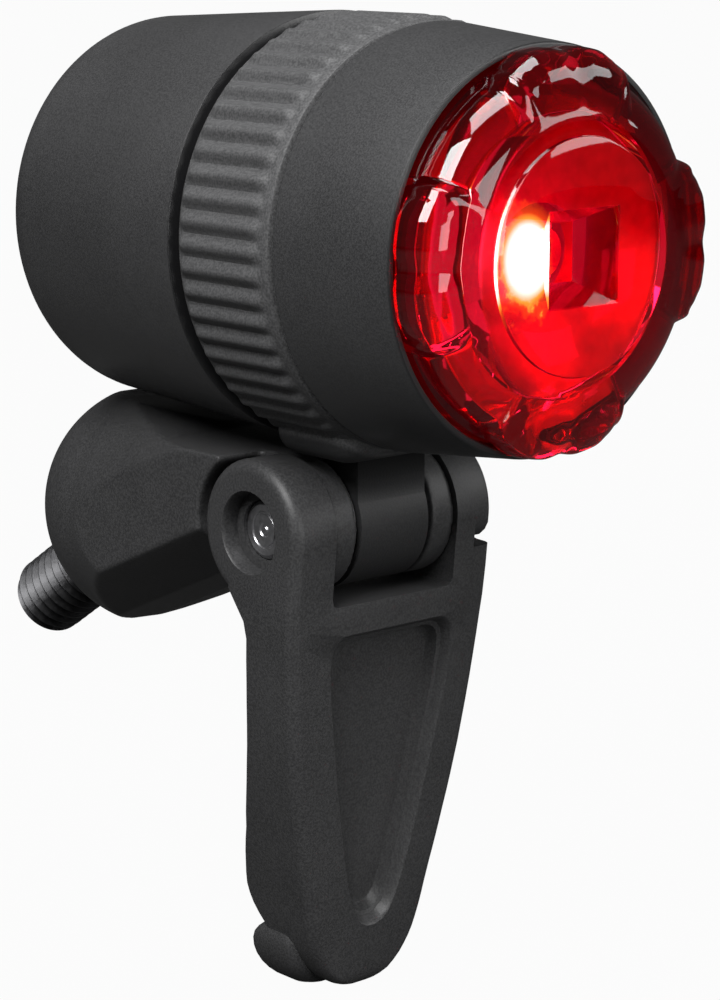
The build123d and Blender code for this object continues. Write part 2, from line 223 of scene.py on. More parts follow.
def turned(name, stations, count=144, place=(0, hinge.y, barrel_z), turn=(-math.pi / 2, 0, 0)):
    """A body of rings about an axis, from (place along it, radius) in millimetres.

    The axis is the barrel's if none is named, with places measured from the hinge towards the cap.
    """
    bpy.ops.object.select_all(action="DESELECT")
    first_place, first_radius = stations[0]
    bpy.ops.mesh.primitive_circle_add(
        vertices=count, radius=first_radius * mm, location=(0, 0, first_place * mm))
    piece = bpy.context.object
    piece.name = name
    bpy.ops.object.mode_set(mode="EDIT")
    bpy.ops.mesh.select_all(action="SELECT")
    for (along, radius), (next_along, next_radius) in zip(stations, stations[1:]):
        bpy.ops.mesh.extrude_region_move(TRANSFORM_OT_translate={"value": (0, 0, (next_along - along) * mm)})
        ratio = next_radius / radius
        bpy.ops.transform.resize(value=(ratio, ratio, 1))
    bpy.ops.mesh.select_all(action="SELECT")
    bpy.ops.mesh.remove_doubles(threshold=0.001 * mm)
    bpy.ops.mesh.fill_holes(sides=0)
    bpy.ops.mesh.select_all(action="SELECT")
    bpy.ops.mesh.normals_make_consistent(inside=False)
    bpy.ops.object.mode_set(mode="OBJECT")
    bpy.ops.object.transform_apply(location=True, rotation=True, scale=True)
    piece.location = place
    piece.rotation_euler = turn
    bpy.ops.object.transform_apply(location=True, rotation=True, scale=True)
    return piece


def finished(piece, bevel=0.0, segments=3, angle=28):
    """Rounds the sharp edges and smooths what is nearly flat."""
    bpy.ops.object.select_all(action="DESELECT")
    piece.select_set(True)
    bpy.context.view_layer.objects.active = piece
    if bevel:
        edge = piece.modifiers.new("edges", "BEVEL")
        edge.width = bevel * mm
        edge.segments = segments
        edge.limit_method = "ANGLE"
        edge.angle_limit = math.radians(angle)
        bpy.ops.object.modifier_apply(modifier=edge.name)
    bpy.ops.object.shade_smooth_by_angle(angle=math.radians(angle))
    return piece


def quarter(centre_y, centre_radius, reach_y, reach_radius, start, end, count):
    """Points of an elliptical rounding, its angle measured from straight outwards towards +Y."""
    turns = [math.radians(start + (end - start) * number / (count - 1)) for number in range(count)]
    return [
        (centre_y + reach_y * math.sin(turn), centre_radius + reach_radius * math.cos(turn)) for turn in turns]


rear_shell = turned("rear_shell_turned", [
    (21.8, 0.03), (21.8, 10.0), *quarter(18.4, 10.3, 3.4, 3.1, 86, 0, 15), (10.0, 13.87), (1.5, 14.33),
    (1.43, 14.3), (1.4, 14.24), (1.4, 12.4), (8.5, 12.4), (8.5, 11.5), (20.2, 11.5), (20.2, 0.03),
])
finished(rear_shell)


class Finish:
    """One material: its surface shader, with object coordinates centred on the hinge."""

    def __init__(self, name, **constants):
        self.material = bpy.data.materials.new(name)
        self.material.use_nodes = True
        self.tree = self.material.node_tree
        self.shader = self.tree.nodes["Principled BSDF"]
        for key, value in constants.items():
            self.shader.inputs[key.replace("_", " ")].default_value = value
        coordinates = self.tree.nodes.new("ShaderNodeTexCoord")
        self.place = Reading(self.tree, coordinates.outputs["Object"])

    def centred(self, rise=0.0):
        """Object coordinates from the hinge, or from a line above it."""
        return self.place.make("ShaderNodeVectorMath", {"operation": "SUBTRACT"}, {
            0: self.place, 1: (0, hinge.y, hinge.z + rise)})

    def axis(self, number, rise=0.0):
        return self.place.make("ShaderNodeSeparateXYZ", {}, {"Vector": self.centred(rise)}, number)

    def noise(self, size, detail=2.0, stretch=(1, 1, 1), roughness=0.5):
        """Noise whose lumps are about this big, in metres."""
        scaled = self.place.make("ShaderNodeVectorMath", {"operation": "MULTIPLY"}, {
            0: self.place, 1: tuple(value / size for value in stretch)})
        return self.place.make("ShaderNodeTexNoise", {}, {
            "Vector": scaled, "Scale": 1.0, "Detail": detail, "Roughness": roughness})

    def color(self, amount, dark, bright):
        """Runs between two colours on the Base Color."""
        mix = self.place.make("ShaderNodeMix", {"data_type": "RGBA"}, {
            "Factor": amount, 6: (*dark, 1), 7: (*bright, 1)}, 2)
        self.tree.links.new(mix.socket, self.shader.inputs["Base Color"])

    def feed(self, socket, value):
        self.tree.links.new(value.socket, self.shader.inputs[socket])

    def bump(self, height, distance, strength=1.0):
        made = height.make("ShaderNodeBump", {}, {
            "Strength": strength, "Distance": distance, "Height": height})
        self.tree.links.new(made.socket, self.shader.inputs["Normal"])

    def cover(self, *pieces):
        for piece in pieces:
            piece.data.materials.clear()
            piece.data.materials.append(self.material)


anodised = Finish("black_anodised_aluminium", IOR=1.5, Specular_IOR_Level=0.6)
speckle = anodised.noise(0.12 * mm, 1.5)
cloud = anodised.noise(6 * mm, 2.0)
from_hinge = anodised.axis(1, barrel_rise)
closed_end = from_hinge.step(16.5 * mm, 19.0 * mm)
mark_pitch = 0.16 * mm
marks = anodised.place.make("ShaderNodeTexNoise", {"noise_dimensions": "1D"}, {
    "W": from_hinge * (1 / mark_pitch), "Scale": 1.0, "Detail": 2.0})
# Painted shade: the rim face in the head's mouth by the lens, and the end faces beside the ring where shade
# falls in the gaps, are painted near-black.
mouth_painted_shade = 1 - from_hinge.step(-18.28 * mm, -18.12 * mm)
ring_gap_painted_shade = from_hinge.step(-8.6 * mm, -8.5 * mm) * (1 - from_hinge.step(1.42 * mm, 1.5 * mm))
unshaded_faces = 1 - (mouth_painted_shade + ring_gap_painted_shade).maths("MINIMUM", 1.0)
mottle = speckle.step(0.3, 0.7) * 0.35 + cloud * 0.25 + 0.2
anodised.color(mottle * unshaded_faces, (0.006, 0.006, 0.0065), (0.047, 0.047, 0.048))
anodised.feed("Roughness", speckle * 0.12 + closed_end * marks * 0.10 + 0.30)
anodised.bump(speckle + closed_end * marks * 4.0, 0.008 * mm, 0.7)
anodised.cover(rear_shell)
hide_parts("rear_shell")
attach(rear_shell, "cap")

# Front shell.
# The head is turned from the same aluminium. It narrows towards the lens, whose flange is held in its
# mouth, and it turns on the inner tube as the switch.
front_shell = turned("front_shell_turned", [
    (-8.45, 13.6), (-8.55, 13.85), (-8.75, 13.97), (-13.0, 13.56), (-18.1, 13.07), (-18.22, 13.03),
    (-18.28, 12.96), (-18.3, 12.86), (-18.3, 12.66), (-18.1, 12.55), (-17.6, 12.5), (-17.4, 12.4),
    (-15.55, 12.4), (-15.55, 11.0), (-14.35, 11.0), (-14.35, 12.35), (-8.45, 12.35), (-8.45, 13.6),
])
finished(front_shell)
anodised.cover(front_shell)
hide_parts("front_shell")
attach(front_shell, "head")

# Bracket ring.
# One matte black plastic moulding: the ribbed ring that grips the tube, its foot, and the knuckle that
# turns on the hinge pin. Its colour holds painted light and shade: the ribbed sleeve is painted paler, the
# knuckle and foot darker.
moulded = Finish("black_moulded_plastic", IOR=1.46, Specular_IOR_Level=0.36)
grain = moulded.noise(0.15 * mm, 1.5, roughness=0.5)
patches = moulded.noise(5 * mm, 2.0)
mottle = grain.step(0.3, 0.7) * 0.4 + patches * 0.25 + 0.17
moulded.color(mottle, (0.010, 0.010, 0.0105), (0.050, 0.050, 0.051))
moulded.feed("Roughness", grain * 0.2 + 0.38)
moulded.bump(grain, 0.013 * mm, 0.7)
lit_and_shaded_plastic = Finish("black_plastic_painted_light_and_shade", IOR=1.46, Specular_IOR_Level=0.3)
grain = lit_and_shaded_plastic.noise(0.15 * mm, 1.5, roughness=0.5)
across, up = lit_and_shaded_plastic.axis(0, barrel_rise), lit_and_shaded_plastic.axis(2, barrel_rise)
from_axis = (across * across + up * up) ** 0.5
# Painted light and shade: the ribbed sleeve round the barrel is painted paler, and the knuckle and foot below
# it, in the barrel's shade, darker.
lit_sleeve_band = from_axis.step(12.9 * mm, 13.7 * mm) * (1 - from_axis.step(14.5 * mm, 14.9 * mm))
mottle = (grain.step(0.3, 0.7) * 0.35 + 0.32) * (lit_sleeve_band * 0.65 + 0.15)
lit_and_shaded_plastic.color(mottle, (0.010, 0.010, 0.0105), (0.12, 0.12, 0.122))
lit_and_shaded_plastic.feed("Roughness", grain * 0.2 + 0.40)
lit_and_shaded_plastic.bump(grain, 0.016 * mm, 0.7)


def cut_or_join(piece, tool, operation):
    """Joins another solid to a piece, or cuts it out, and removes the tool."""
    bpy.ops.object.select_all(action="DESELECT")
    piece.select_set(True)
    bpy.context.view_layer.objects.active = piece
    change = piece.modifiers.new("solid", "BOOLEAN")
    change.operation = operation
    change.solver = "EXACT"
    change.object = tool
    bpy.ops.object.modifier_apply(modifier=change.name)
    bpy.data.objects.remove(tool)


def brick(low, high):
    """A block between two corners, in millimetres from the hinge."""
    low, high = Vector(low) * mm, Vector(high) * mm
    bpy.ops.object.select_all(action="DESELECT")
    bpy.ops.mesh.primitive_cube_add(size=1, location=hinge + (low + high) / 2)
    block = bpy.context.object
    block.dimensions = high - low
    bpy.ops.object.transform_apply(location=True, rotation=True, scale=True)
    return block


across_hinge = (0, math.pi / 2, 0)
knuckle_half, knuckle_radius = 3.0, 4.6
bracket_ring = turned("bracket_ring_moulded", [
    (-knuckle_half, 0.03), (-knuckle_half, knuckle_radius),
    (knuckle_half, knuckle_radius), (knuckle_half, 0.03),
], 96, tuple(hinge), across_hinge)
stem = brick((-knuckle_half, -4.2, 0), (knuckle_half, 0.2, 6.0))
cut_or_join(bracket_ring, stem, "UNION")
finished(bracket_ring, 0.3, 3)
foot = brick((-7.0, -7.6, 5.15), (7.0, 0.2, 12.0))
finished(foot, 1.6, 5)
cut_or_join(bracket_ring, foot, "UNION")
pin_bore = 2.05
bore = turned("bore", [
    (-4.0, 0.03), (-4.0, pin_bore), (4.0, pin_bore), (4.0, 0.03)], 64, tuple(hinge), across_hinge)
cut_or_join(bracket_ring, bore, "DIFFERENCE")
rib_count, rib_foot, rib_height = 58, 13.98, 0.36
rib_places = (-7.9, -7.6, -7.4, -7.2, -7.0, -6.7, -6.3, -3.0, -0.2, 0.05, 0.25, 0.45, 0.66)
sleeve = turned("sleeve", [
    (-8.2, 12.4), (-8.2, 13.7), (-8.1, 13.9), *[(place, rib_foot) for place in rib_places],
    (0.8, 13.86), (0.8, 12.4),
], rib_count * 10)
for vertex in sleeve.data.vertices:
    across, ahead, rise = vertex.co.x, (vertex.co.y - hinge.y) / mm, vertex.co.z - barrel_z
    if math.hypot(across, rise) > 13.9 * mm:
        fade = min(1, max(0, ahead + 7.5)) * min(1, max(0, (0.6 - ahead) / 0.6))
        wave = 0.5 + 0.5 * math.cos(rib_count * math.atan2(rise, across))
        grow = 1 + rib_height / rib_foot * math.sin(fade * math.pi / 2) * wave ** 0.8
        vertex.co.x = across * grow
        vertex.co.z = barrel_z + rise * grow
cut_or_join(bracket_ring, sleeve, "UNION")
tube_bore = 12.3
bore = turned("bore", [(-9.0, 0.03), (-9.0, tube_bore), (2.0, tube_bore), (2.0, 0.03)])
cut_or_join(bracket_ring, bore, "DIFFERENCE")
finished(bracket_ring, angle=34)
lit_and_shaded_plastic.cover(bracket_ring)
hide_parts("bracket_ring")
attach(bracket_ring, "lamp")


# Lens.
# One clear red acrylic moulding with a flat face, a rounded shoulder, four raised grip blocks round its
# edge and a square pyramid pocket in the face. Its flange is bonded over the gasket in the head.
shoulder_y, shoulder_radius, shoulder_depth, shoulder_width = -18.75, 7.75, 2.95, 4.05
lens = turned("lens_moulded", [
    (-21.85, 0.05), (-21.85, 7.3), (-21.8, 7.42), (-21.62, 7.5), (-21.62, 7.75),
    *quarter(shoulder_y, shoulder_radius, -shoulder_depth, shoulder_width, 80, 0, 25),
    (-18.45, 11.85), (-18.4, 12.3), (-16.15, 12.3), (-16.15, 10.75), (-19.3, 10.65), (-19.35, 10.5),
    (-19.35, 8.9), (-19.2, 8.7), (-17.4, 8.7), (-17.3, 8.55), (-16.6, 4.6), (-16.6, 1.75),
    (-17.65, 1.6), (-17.65, 0.05),
], 640)


def smooth(value, low, high):
    """0 below low and 1 above high, smooth between."""
    part = min(1, max(0, (value - low) / (high - low)))
    return part * part * (3 - 2 * part)


for vertex in lens.data.vertices:
    across, ahead, rise = vertex.co.x, (vertex.co.y - hinge.y) / mm, vertex.co.z - barrel_z
    radius = math.hypot(across, rise) / mm
    if radius < 7.9 or radius > 12.2 or ahead > -18.42:
        continue
    angle = math.atan2(rise, across)
    along_rim = 12 * abs((angle + math.pi / 4) % (math.pi / 2) - math.pi / 4)
    block = (1 - smooth(along_rim, 4.8, 5.9)) * smooth(radius, 8.9, 10.6)
    lobes = smooth(along_rim, 0, 1.4) * (1 - smooth(along_rim, 2.7, 3.9))
    reach = 0.35 + 0.25 * (1 - smooth(along_rim, 3.7, 4.6)) + 0.25 * lobes
    turn = max(0, math.atan2(
        (ahead - shoulder_y) / -shoulder_depth, (radius - shoulder_radius) / shoulder_width))
    raised_ahead = min(ahead, -19.6 - (1.85 + reach * 0.42) * math.sin(turn)) if ahead < -18.5 else ahead
    raised_radius = 8.9 + (3.1 + reach) * math.cos(turn)
    grow = 1 + block * (raised_radius / radius - 1)
    vertex.co.x = across * grow
    vertex.co.z = barrel_z + rise * grow
    vertex.co.y = hinge.y + (ahead + block * (raised_ahead - ahead)) * mm

bpy.ops.object.select_all(action="DESELECT")
mouth_half, floor_half = 3.22, 1.88
bpy.ops.mesh.primitive_cone_add(
    vertices=4, radius1=mouth_half * math.sqrt(2) * mm, radius2=floor_half * math.sqrt(2) * mm,
    depth=3.3 * mm, location=(0, hinge.y - 20.6 * mm, barrel_z), rotation=(-math.pi / 2, 0, 0))
pocket = bpy.context.object
bpy.ops.object.mode_set(mode="EDIT")
bpy.ops.mesh.select_all(action="SELECT")
bpy.ops.transform.rotate(value=math.pi / 4, orient_axis="Y", center_override=(0, hinge.y, barrel_z))
bpy.ops.object.mode_set(mode="OBJECT")
cut_or_join(lens, pocket, "DIFFERENCE")
finished(lens, angle=36)
red = Finish("clear_red_acrylic", Transmission_Weight=1.0, IOR=1.49, Emission_Strength=40.0)
haze = red.noise(1.6 * mm, 2.0)
red.feed("Roughness", haze * 0.03 + 0.01)
across, along, up = (red.axis(number, barrel_rise) for number in range(3))
aside = (across + 1.6 * mm) * 1.3
from_axis = (across * across + up * up) ** 0.5
from_spot = (aside * aside + up * up) ** 0.5
away = (across * 0.8 + up * 0.6).step(-6 * mm, 9 * mm)
band = from_axis.step(7.9 * mm, 9.6 * mm)
sides = across.maths("ABSOLUTE").maths("MAXIMUM", up.maths("ABSOLUTE"))
deep = along.step(-21.8 * mm, -21.6 * mm) * (1 - along.step(-19.2 * mm, -18.8 * mm))
facets = (1 - sides.step(3.2 * mm, 3.35 * mm)) * deep
# Painted shade: the red is painted darker on the shoulder band, most on the side away from the light source's
# hot spot, and on the pocket's walls and floor.
painted_lens_shade = (band * (away * 0.75 + 0.15) + facets * 0.85).maths("MINIMUM", 1.0)
red.color(painted_lens_shade, (0.84, 0.004, 0.030), (0.26, 0.001, 0.005))
# Painted light: the lens, which is no lamp, is given its own emission on its rear faces. It paints the light
# source's hot spot and a streaky glow that fades away from it.
streaks = red.noise(1.3 * mm, 4.0, roughness=0.7)
streaked = (streaks - 0.5) * 0.6 * from_spot.step(2.4 * mm, 4 * mm)
spread = from_spot * (1 / (10 * mm)) + streaked + away * 0.22
painted_source_glow = red.place.make("ShaderNodeValToRGB", {"stops": [
    (0.0, (0.034, 0.50, 0.20)), (0.25, (0.034, 0.46, 0.15)), (0.295, (0.034, 0.16, 0.006)),
    (0.335, (0.020, 0.02, 0.0008)), (0.42, (0.0075, 0.0, 0.0007)), (0.6, (0.0028, 0.0, 0.0003)),
    (0.8, (0.0008, 0.0, 0.0001)), (1.0, (0.0004, 0.0, 0.0)),
]}, {"Fac": spread})
behind = along.step(-18.3 * mm, -17.8 * mm)
red.feed("Emission Color", red.place.make("ShaderNodeMix", {"data_type": "RGBA"}, {
    "Factor": behind, 6: (0.0004, 0.0, 0.00001, 1), 7: painted_source_glow}, 2))
red.cover(lens)
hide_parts("lens")
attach(lens, "head")

# Light source.
# A bright bowl round a square white light source with a clear dome, on a round board behind the lens.
# The lamp is switched on, so the source glows.
bright = Finish("bright_coated_bowl", Metallic=0.85)
ripple = bright.noise(0.9 * mm, 2.0)
bright.color(ripple, (0.34, 0.34, 0.35), (0.80, 0.80, 0.81))
bright.feed("Roughness", ripple * 0.2 + 0.22)
bright.cover(frame["nodes"]["reflector"])

lit = Finish("lit_source", Roughness=0.4, Emission_Strength=3.0)
spots = lit.noise(0.8 * mm, 1.0)
lit.color(spots, (0.9, 0.85, 0.7), (1.0, 0.95, 0.85))
lit.feed("Emission Color", lit.place.make("ShaderNodeMix", {"data_type": "RGBA"}, {
    "Factor": spots, 6: (1.0, 0.78, 0.55, 1), 7: (1.0, 0.92, 0.8, 1)}, 2))
lit.cover(frame["nodes"]["led_package"], frame["nodes"]["led_dome"])

board = Finish("green_circuit_board", IOR=1.5)
weave = board.noise(0.5 * mm, 2.0)
board.color(weave, (0.02, 0.10, 0.045), (0.03, 0.16, 0.07))
board.feed("Roughness", weave * 0.2 + 0.35)
board.cover(frame["nodes"]["led_board"], frame["nodes"]["driver_board"])

# Seals and gasket.
# Black rubber rings: one in the tube's groove, one against the battery cap, one under the lens.
rubber = Finish("black_rubber", IOR=1.5, Specular_IOR_Level=0.15)
dust = rubber.noise(0.4 * mm, 2.0)
rubber.color(dust, (0.003, 0.003, 0.003), (0.008, 0.008, 0.008))
rubber.feed("Roughness", dust * 0.2 + 0.6)
rubber.bump(dust, 0.01 * mm, 0.4)
rubber.cover(*[frame["nodes"][name] for name in ("head_seal", "cap_seal", "lens_gasket")])

# Pieces inside the barrel.
# The tube, battery, its sleeve, contacts and board parts, as they are met when the cap comes off.
inside = (
    ("turned_aluminium", (0.55, 0.55, 0.56), (0.74, 0.74, 0.75), 1.0, 0.28, ("inner_tube",)),
    ("brass", (0.60, 0.42, 0.16), (0.82, 0.62, 0.28), 1.0, 0.25,
     ("front_contact", "board_pins", "stud_insert")),
    ("spring_steel", (0.45, 0.45, 0.46), (0.68, 0.68, 0.69), 1.0, 0.3,
     ("rear_contact", "contact_leaf", "pivot_washers")),
    ("chip_resin", (0.02, 0.02, 0.02), (0.04, 0.04, 0.04), 0.0, 0.5, ("driver_chip", "driver_coil")),
    ("battery_sleeve_film", (0.06, 0.065, 0.07), (0.10, 0.105, 0.115), 0.0, 0.3, ("battery",)),
    ("pale_nylon", (0.42, 0.42, 0.40), (0.56, 0.56, 0.54), 0.0, 0.5, ("battery_sleeve",)),
)
for name, dark, pale, metallic, roughness, nodes in inside:
    finish = Finish(name, Metallic=metallic)
    drawn = finish.noise(0.35 * mm, 2.0, (1, 0.1, 1))
    finish.color(drawn, dark, pale)
    finish.feed("Roughness", drawn * 0.15 + roughness)
    finish.bump(drawn, 0.006 * mm, 0.4)
    finish.cover(*[frame["nodes"][node] for node in nodes])

# Base arm.
# Black moulded plastic: a fork round the lamp's knuckle that runs back into a round nose, with a low keel
# under it. The stud's insert is moulded in.
def evened(piece, cell, passes):
    """Rounds the edges all over, as a mould leaves them."""
    bpy.ops.object.select_all(action="DESELECT")
    piece.select_set(True)
    bpy.context.view_layer.objects.active = piece
    even = piece.modifiers.new("even", "REMESH")
    even.mode = "VOXEL"
    even.voxel_size = cell * mm
    bpy.ops.object.modifier_apply(modifier=even.name)
    soften = piece.modifiers.new("soften", "SMOOTH")
    soften.factor = 0.5
    soften.iterations = passes
    bpy.ops.object.modifier_apply(modifier=soften.name)
    bpy.ops.object.shade_smooth()


bpy.ops.object.select_all(action="DESELECT")
arm_solid = frame["nodes"]["base_arm"]
arm_solid.select_set(True)
bpy.context.view_layer.objects.active = arm_solid
bpy.ops.object.duplicate()
base_arm = bpy.context.object
base_arm.name = "base_arm_moulded"
bpy.ops.object.parent_clear(type="CLEAR_KEEP_TRANSFORM")
bpy.ops.object.transform_apply(location=True, rotation=True, scale=True)
bpy.ops.object.mode_set(mode="EDIT")
bpy.ops.mesh.select_all(action="SELECT")
bpy.ops.mesh.remove_doubles(threshold=0.001 * mm)
bpy.ops.object.mode_set(mode="OBJECT")
evened(base_arm, 0.18, 10)
moulded.cover(base_arm)
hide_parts("base_arm")
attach(base_arm, "base")

# Mounting stud.
# A steel M6 stud with a rolled thread, blackened, moulded into the nose over a brass insert.
stud_droop = math.radians(32.6)
pitch, core_radius, stud_end = 1.0, 2.46, 11.2
mounting_stud = turned("mounting_stud_threaded", [
    (-9.0, 0.03), (-9.0, core_radius), (stud_end - 0.35, core_radius), (stud_end, 2.2), (stud_end, 0.03),
], 64, (0, 0, 0), (0, 0, 0))
bpy.ops.object.select_all(action="DESELECT")
bpy.ops.mesh.primitive_circle_add(vertices=4, radius=0.5 * pitch * mm, rotation=(math.pi / 2, 0, 0))
ridge = bpy.context.object
bpy.ops.object.transform_apply(location=True, rotation=True, scale=True)
bpy.ops.object.mode_set(mode="EDIT")
bpy.ops.mesh.select_all(action="SELECT")
bpy.ops.transform.resize(value=(1.36, 1, 0.94))
bpy.ops.transform.translate(value=(2.36 * mm, 0, -0.6 * mm))
bpy.ops.object.mode_set(mode="OBJECT")
helix = ridge.modifiers.new("helix", "SCREW")
helix.steps = helix.render_steps = 48
helix.screw_offset = pitch * mm
helix.iterations = 13
helix.use_merge_vertices = True
helix.merge_threshold = 0.0005 * mm
bpy.ops.object.modifier_apply(modifier=helix.name)
bpy.ops.object.mode_set(mode="EDIT")
bpy.ops.mesh.select_all(action="SELECT")
bpy.ops.mesh.fill_holes(sides=0)
bpy.ops.mesh.normals_make_consistent(inside=False)
bpy.ops.object.mode_set(mode="OBJECT")
thread_radius = 2.99
limit = turned("limit", [
    (0.02, 0.03), (0.02, thread_radius), (stud_end - 0.7, thread_radius),
    (stud_end - 0.02, 2.3), (stud_end - 0.02, 0.03),
], 64, (0, 0, 0), (0, 0, 0))
cut_or_join(ridge, limit, "INTERSECT")
cut_or_join(mounting_stud, ridge, "UNION")
mounting_stud.rotation_euler = (-math.pi / 2 - stud_droop, 0, 0)
bpy.ops.object.select_all(action="DESELECT")
mounting_stud.select_set(True)
bpy.context.view_layer.objects.active = mounting_stud
bpy.ops.object.transform_apply(location=True, rotation=True, scale=True)
bpy.ops.object.shade_smooth_by_angle(angle=math.radians(25))
blackened = Finish("blackened_steel", Metallic=0.9)
wear = blackened.noise(0.5 * mm, 3.0)
blackened.color(wear, (0.012, 0.012, 0.0125), (0.05, 0.05, 0.052))
blackened.feed("Roughness", wear * 0.25 + 0.25)
blackened.bump(wear, 0.01 * mm, 0.4)
blackened.cover(mounting_stud)
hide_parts("mounting_stud")
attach(mounting_stud, "base")

# Hinge pin.
# A plain steel pin pressed through the arm's fork. Its turned ends sit below the faces of the lever's
# ears and are seen through the access holes.
pin_face = [
    (7.6, 0.03), (7.6, 0.22), (7.52, 0.30), (7.52, 0.42), (7.6, 0.5), (7.6, 1.05), (7.5, 1.12), (7.5, 1.24),
    (7.6, 1.3), (7.6, 1.72), (7.42, 1.97),
]
other_face = [(-place, radius) for place, radius in reversed(pin_face)]
pivot_pin = turned("pivot_pin_turned", pin_face + other_face, 72, tuple(hinge), across_hinge)
finished(pivot_pin, angle=30)
steel = Finish("pin_steel", Metallic=1.0)
turning = steel.noise(0.3 * mm, 2.0)
steel.color(turning, (0.35, 0.35, 0.36), (0.62, 0.62, 0.64))
steel.feed("Roughness", turning * 0.2 + 0.22)
steel.bump(turning, 0.02 * mm, 0.6)
steel.cover(pivot_pin)
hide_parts("pivot_pin")
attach(pivot_pin, "base")

# Clamp lever.
# The same black plastic: two ears on the pin, a window for the knuckle, and a long tapered face with a
# shallow pocket and a finger lip at its tip.
face_slope, face_start = 0.1056, -4.927


def face_at(rise):
    """Where the lever's flat face lies, ahead of the pin, at this height."""
    return face_start - face_slope * rise


def lofted(name, stations, corner=0.85):
    """A body drawn down through level sections, each a rectangle with round corners.

    A section is (rise, front, back, half width) in millimetres from the hinge.
    """
    corner_points = 12
    points = 4 * corner_points
    bpy.ops.object.select_all(action="DESELECT")
    bpy.ops.mesh.primitive_circle_add(vertices=points, radius=1)
    piece = bpy.context.object
    piece.name = name
    bpy.ops.object.mode_set(mode="EDIT")
    for number in range(len(stations) - 1):
        bpy.ops.mesh.extrude_region_move(TRANSFORM_OT_translate={"value": (0, 0, 1)})
    bpy.ops.object.mode_set(mode="OBJECT")
    for vertex in piece.data.vertices:
        rise, front, back, half = stations[round(vertex.co.z)]
        turn = math.atan2(vertex.co.y, vertex.co.x) % (2 * math.pi)
        spot = round(turn / (2 * math.pi) * points + 0.5) % points
        side, step = divmod(spot, corner_points)
        round_by = min(corner if side > 1 else corner * 0.6, 0.49 * (back - front), 0.98 * half)
        bend = (side + step / (corner_points - 1)) * math.pi / 2
        out_x = (half - round_by) * (1 if side in (0, 3) else -1)
        out_y = (back - round_by) if side in (0, 1) else (front + round_by)
        spot_x, spot_y = out_x + round_by * math.cos(bend), out_y + round_by * math.sin(bend)
        vertex.co = hinge + Vector((spot_x, spot_y, rise)) * mm
    bpy.ops.object.mode_set(mode="EDIT")
    bpy.ops.mesh.select_all(action="SELECT")
    bpy.ops.mesh.fill_holes(sides=0)
    bpy.ops.mesh.select_all(action="SELECT")
    bpy.ops.mesh.normals_make_consistent(inside=False)
    bpy.ops.object.mode_set(mode="OBJECT")
    return piece


def plate(name, outline, steps, place, turn):
    """A flat outline of (across, up) corners drawn out through steps, then stood in its place.

    A step is (place, size across, size up), the sizes as shares of the outline's.
    """
    bpy.ops.object.select_all(action="DESELECT")
    bpy.ops.mesh.primitive_circle_add(vertices=len(outline), radius=1, fill_type="NGON")
    piece = bpy.context.object
    piece.name = name
    start, wide, high = steps[0]
    for vertex, (across, rise) in zip(piece.data.vertices, outline):
        vertex.co = (across * wide * mm, rise * high * mm, start * mm)
    bpy.ops.object.mode_set(mode="EDIT")
    bpy.ops.mesh.select_all(action="SELECT")
    for end, next_wide, next_high in steps[1:]:
        bpy.ops.mesh.extrude_region_move(TRANSFORM_OT_translate={"value": (0, 0, (end - start) * mm)})
        bpy.ops.transform.resize(value=(next_wide / wide, next_high / high, 1), center_override=(0, 0, 0))
        start, wide, high = end, next_wide, next_high
    bpy.ops.mesh.select_all(action="SELECT")
    bpy.ops.mesh.normals_make_consistent(inside=False)
    bpy.ops.object.mode_set(mode="OBJECT")
    piece.location = place
    piece.rotation_euler = turn
    bpy.ops.object.transform_apply(location=True, rotation=True, scale=True)
    return piece


def rim(radius, end, edge=0.85, count=9):
    """Stations of a disc's rounded edge, from its flat face outwards."""
    turns = [math.pi / 2 * number / (count - 1) for number in range(count)]
    return [(end - edge + edge * math.cos(turn), radius - edge + edge * math.sin(turn)) for turn in turns]


body = [
    (-0.3, 1.5, 8.3), (-0.6, 2.0, 9.004), (-2.4, 2.2, 9.004), (-4.1, 2.5, 9.004), (-6.2, 1.0, 8.92),
    (-7.4, 0.85, 8.8), (-9.0, 1.05, 8.66), (-10.5, 1.22, 8.51), (-12.0, 1.42, 8.35), (-13.7, 1.66, 8.14),
    (-15.2, 1.92, 7.93),
    (-16.8, 2.26, 7.7), (-18.0, 2.56, 7.48), (-19.2, 2.88, 7.26), (-20.4, 3.22, 7.02), (-21.6, 3.52, 6.75),
    (-22.6, 3.86, 6.54), (-23.6, 4.16, 6.32), (-24.6, 4.42, 6.08), (-25.4, 4.64, 5.88), (-26.2, 4.76, 5.7),
    (-26.9, 4.68, 5.54), (-27.6, 4.44, 5.4), (-28.3, 4.05, 5.24), (-28.9, 3.65, 5.08), (-29.5, 3.35, 4.9),
    (-30.1, 3.0, 4.7), (-30.7, 2.65, 4.42), (-31.3, 2.3, 4.06), (-31.8, 2.0, 3.7), (-32.3, 1.65, 3.2),
    (-32.7, 1.3, 2.7), (-33.0, 0.95, 2.2), (-33.2, 0.7, 1.75), (-33.35, 0.4, 1.2), (-33.42, 0.1, 0.7),
]
tuck = {-0.3: 0.8, -33.0: 0.12, -33.2: 0.26, -33.35: 0.48, -33.42: 0.72}
clamp_lever = lofted("clamp_lever_moulded", [
    (rise, face_at(rise) + tuck.get(rise, 0.0), back, half) for rise, back, half in body])
ear_radius, ear_face = 4.9, 9.0
ear_rim = [(ear_face, 0.03), *rim(ear_radius, ear_face)]
near_rim = [(-place, radius) for place, radius in ear_rim]
ears = turned("ears", near_rim + ear_rim[::-1], 120, tuple(hinge), across_hinge)
cut_or_join(clamp_lever, ears, "UNION")
sideways = (math.pi / 2, 0, math.pi / 2)
forwards = (math.pi / 2, 0, 0)
window_half, window_sill = 5.45, -5.0
half_window = [(4.9, window_sill), (5.3, -4.8), (window_half, -4.4), (window_half, 6.0)]
